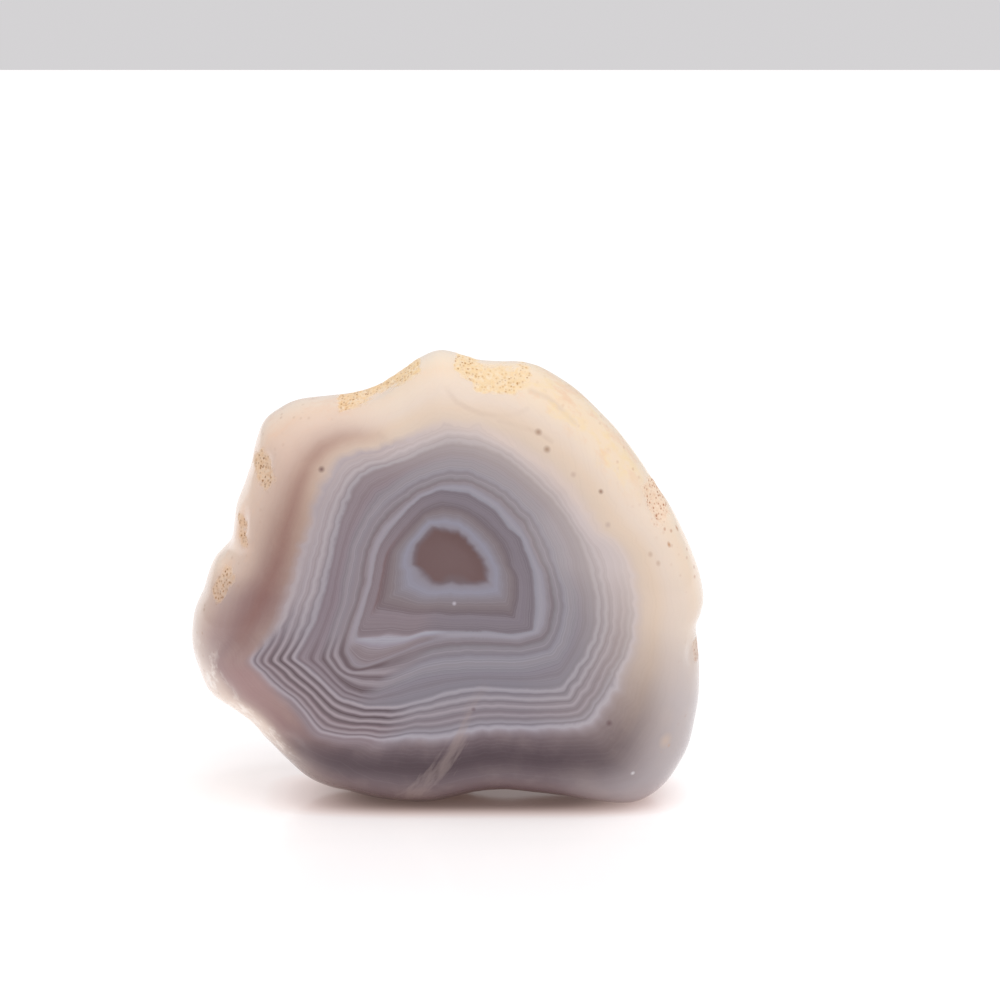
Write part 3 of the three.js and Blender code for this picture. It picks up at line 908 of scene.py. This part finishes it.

    # Crust: pale and mealy, its pale grains also painted as glints, speckled where grains were lost, with a
    # ragged edge
    meal = add(tree, "ShaderNodeTexNoise", {"Vector": place, "Scale": MEAL_PER_MM, "Detail": 3.0})
    edge = add(tree, "ShaderNodeMath", {
        0: meal.outputs[0], 1: 0.9, 2: values["crust"],
    }, operation="MULTIPLY_ADD")
    crusty = along(tree, edge.outputs[0], [(0.64, 0.0), (0.9, 1.0)])
    coating = product(tree, [crusty, by_turn(CRUST_BODY)])
    drawn_back = add(tree, "ShaderNodeVectorMath", {
        0: place, 1: (1.0, 0.4, 1.0),
    }, operation="MULTIPLY").outputs[0]
    grains = add(tree, "ShaderNodeTexVoronoi", {
        "Vector": drawn_back, "Scale": GRAINS_PER_MM, "Randomness": 1.0,
    })
    shade = add(tree, "ShaderNodeSeparateColor", {0: grains.outputs["Color"]})
    dots = along(tree, grains.outputs["Distance"], [(0.2, 1.0), (0.5, 0.0)], 1)
    present = along(tree, shade.outputs[0], [(0.15, 0.0), (0.55, 0.95)], 1)
    dense = along(tree, meal.outputs[0], [(0.42, 1.0), (0.6, 0.5)], 1)
    speck_colour = by_turn(SPECK_COLOURS)
    mealy_and_glint = along(tree, shade.outputs[1], [(0.3, 0.0), (1.0, 0.45)], 1)
    crust_colour = laid_over(tree, by_turn(CRUST_COLOURS), "#fdf1de", mealy_and_glint)
    colour = laid_over(tree, colour, crust_colour, coating)
    colour = laid_over(tree, colour, speck_colour, dots, present, dense, crusty, by_turn(SPECKLE))

    # Loose specks past the patches
    loose = add(tree, "ShaderNodeTexVoronoi", {
        "Vector": drawn_back, "Scale": STRAYS_PER_MM, "Randomness": 1.0,
    })
    pick = add(tree, "ShaderNodeSeparateColor", {0: loose.outputs["Color"]})
    strewn = product(tree, [
        along(tree, loose.outputs["Distance"], [(0.08, 1.0), (0.3, 0.0)], 1),
        along(tree, pick.outputs[0], [(0.5, 0.0), (0.9, 0.7)], 1),
        by_turn(STRAY_ROUND),
        by_band(bands, STRAY_OUTWARD),
    ])
    colour = laid_over(tree, colour, speck_colour, strewn)

    # The polish mirrors the white tent all over, which the colours as seen already hold
    own = add(tree, "ShaderNodeVectorMath", {
        0: colour, 1: (1.0, 1.0, 1.0), 2: (-GLOSS, -GLOSS, -GLOSS),
    }, operation="MULTIPLY_ADD")

    # The tumbled polish varies a little, and the crust is dull, with pits between its grains
    polish = add(tree, "ShaderNodeMapRange", {
        "Value": clouds.outputs[0],
        "From Min": 0.3,
        "From Max": 0.7,
        "To Min": POLISH_ROUGHNESS[0],
        "To Max": POLISH_ROUGHNESS[1],
    })
    roughness = add(tree, "ShaderNodeMix", {
        FACTOR: crusty, FIRST_VALUE: polish.outputs[0], SECOND_VALUE: CRUST_ROUGHNESS,
    }, data_type="FLOAT")
    grain_bump = add(tree, "ShaderNodeBump", {
        "Strength": product(tree, [crusty, 0.5]),
        "Distance": PIT_DEPTH * MM,
        "Height": grains.outputs["Distance"],
    })
    skin = add(tree, "ShaderNodeBsdfPrincipled", {
        "Base Color": own.outputs[0],
        "Roughness": roughness.outputs[0],
        "IOR": CHALCEDONY_IOR,
        "Normal": grain_bump.outputs[0],
        "Subsurface Weight": 0.06,
        "Subsurface Radius": (1.0, 0.8, 0.7),
        "Subsurface Scale": MILK_DEPTH * MM,
    })
    add(tree, "ShaderNodeOutputMaterial", {"Surface": skin.outputs[0]})
    return material


def roughened(mesh, material):
    """The stone's mesh with its crust roughened by the Geometry Nodes tree, as a plain mesh."""
    stone = bpy.data.objects.new("agate_stone", mesh)
    bpy.context.scene.collection.objects.link(stone)
    tree, names = crust_relief_tree()
    modifier = stone.modifiers.new("crust relief", "NODES")
    modifier.node_group = tree
    modifier[names["Material"]] = material
    modifier[names["Grain size"]] = GRAIN_SIZE * MM
    modifier[names["Relief"]] = GRAIN_RELIEF * MM
    graph = bpy.context.evaluated_depsgraph_get()
    finished = bpy.data.meshes.new_from_object(stone.evaluated_get(graph), depsgraph=graph)
    stone.modifiers.remove(modifier)
    stone.data = finished
    return stone


# A shadow painted under the stone on the glowing table, its glow dimmed and warmed there: its middle and
# half sizes, and by how far out the glow, the sheet's colour, warmed as painted light, and the glow's
# colour
PAINTED_SHADOW_MIDDLE = 2.5
PAINTED_SHADOW_HALF_WIDTH = 16.5
PAINTED_SHADOW_HALF_DEPTH = 7
PAINTED_SHADOW_GLOW = [
    (0, 0.11), (0.3, 0.12), (0.42, 0.17), (0.57, 0.28), (0.78, 0.4), (1.03, 0.46), (1.96, 0.38),
    (4, 0.35),
]
PAINTED_SHADOW_TINT = [(0, "#c9a99e"), (0.5, "#cdb5ad"), (1.3, "#e4e6e6")]
PAINTED_SHADOW_WARMTH = [(0, "#e0b9ac"), (0.6, "#f2dbd4"), (1.3, "#fff3f1")]


def white_table():
    """A wide sheet of white satin acrylic: it glows, mirrors a little and is shaded by the stone, with a
    warm shadow painted into its glow and colour under the stone.
    """
    half = 3000 * MM
    corners = [(-half, -half, 0), (half, -half, 0), (half, half, 0), (-half, half, 0)]
    mesh = bpy.data.meshes.new("table")
    mesh.from_pydata(corners, [], [(0, 1, 2, 3)])
    material = bpy.data.materials.new("white acrylic, satin")
    material.use_nodes = True
    tree = material.node_tree
    tree.nodes.clear()

    # The painted shadow is read by how far each place lies from its middle, squared, in parts of its half
    # sizes
    metres = add(tree, "ShaderNodeTexCoord", {}).outputs["Object"]
    near = add(tree, "ShaderNodeVectorMath", {
        0: metres, 1: (PAINTED_SHADOW_MIDDLE * MM, 0, 0),
    }, operation="SUBTRACT").outputs[0]
    parts = add(tree, "ShaderNodeVectorMath", {
        0: near, 1: (1 / (PAINTED_SHADOW_HALF_WIDTH * MM), 1 / (PAINTED_SHADOW_HALF_DEPTH * MM), 0),
    }, operation="MULTIPLY").outputs[0]
    squares = add(tree, "ShaderNodeVectorMath", {0: parts, 1: parts}, operation="MULTIPLY").outputs[0]
    away = add(tree, "ShaderNodeVectorMath", {0: squares}, operation="LENGTH").outputs["Value"]
    skin = add(tree, "ShaderNodeBsdfPrincipled", {
        "Base Color": along(tree, away, PAINTED_SHADOW_TINT),
        "Roughness": 0.12,
        "IOR": 1.35,
        "Emission Color": along(tree, away, PAINTED_SHADOW_WARMTH),
        "Emission Strength": along(tree, away, PAINTED_SHADOW_GLOW),
    })
    add(tree, "ShaderNodeOutputMaterial", {"Surface": skin.outputs[0]})
    mesh.materials.append(material)
    table = bpy.data.objects.new("table", mesh)
    bpy.context.scene.collection.objects.link(table)


def studio():
    """A white tent, lit most from above and a little from the front."""
    world = bpy.data.worlds.new("white tent")
    bpy.context.scene.world = world
    world.use_nodes = True
    background = world.node_tree.nodes["Background"]
    background.inputs["Color"].default_value = to_linear("#fffdff")
    background.inputs["Strength"].default_value = 0.66
    light = bpy.data.lights.new("top light", "SUN")
    light.energy = 1.4
    light.angle = math.radians(50)
    lamp = bpy.data.objects.new("top light", light)
    lamp.rotation_euler = (math.radians(18), math.radians(6), 0)
    lamp.visible_glossy = False
    bpy.context.scene.collection.objects.link(lamp)
    view = bpy.context.scene.view_settings
    view.view_transform = "Standard"
    view.look = "None"


def photo_camera():
    """A camera at the photograph's height, aimed so that the stone falls where the photograph has it."""
    lens = 100
    sensor = 36
    elevation = math.radians(10)
    target = Vector((4.7095, 4.4788, 25.4004))
    distance = 244.523
    camera = bpy.data.cameras.new("camera")
    camera.lens = lens
    camera.sensor_width = sensor
    camera.clip_end = 100
    body = bpy.data.objects.new("camera", camera)
    back = Vector((0, -math.cos(elevation), math.sin(elevation)))
    body.location = (target + back * distance) * MM
    body.rotation_euler = (math.pi / 2 - elevation, 0, 0)
    bpy.context.scene.collection.objects.link(body)
    bpy.context.scene.camera = body


photo_camera()
studio()
white_table()
stone = roughened(stone_mesh(), agate_material())
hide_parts("agate")
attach(stone, "root")
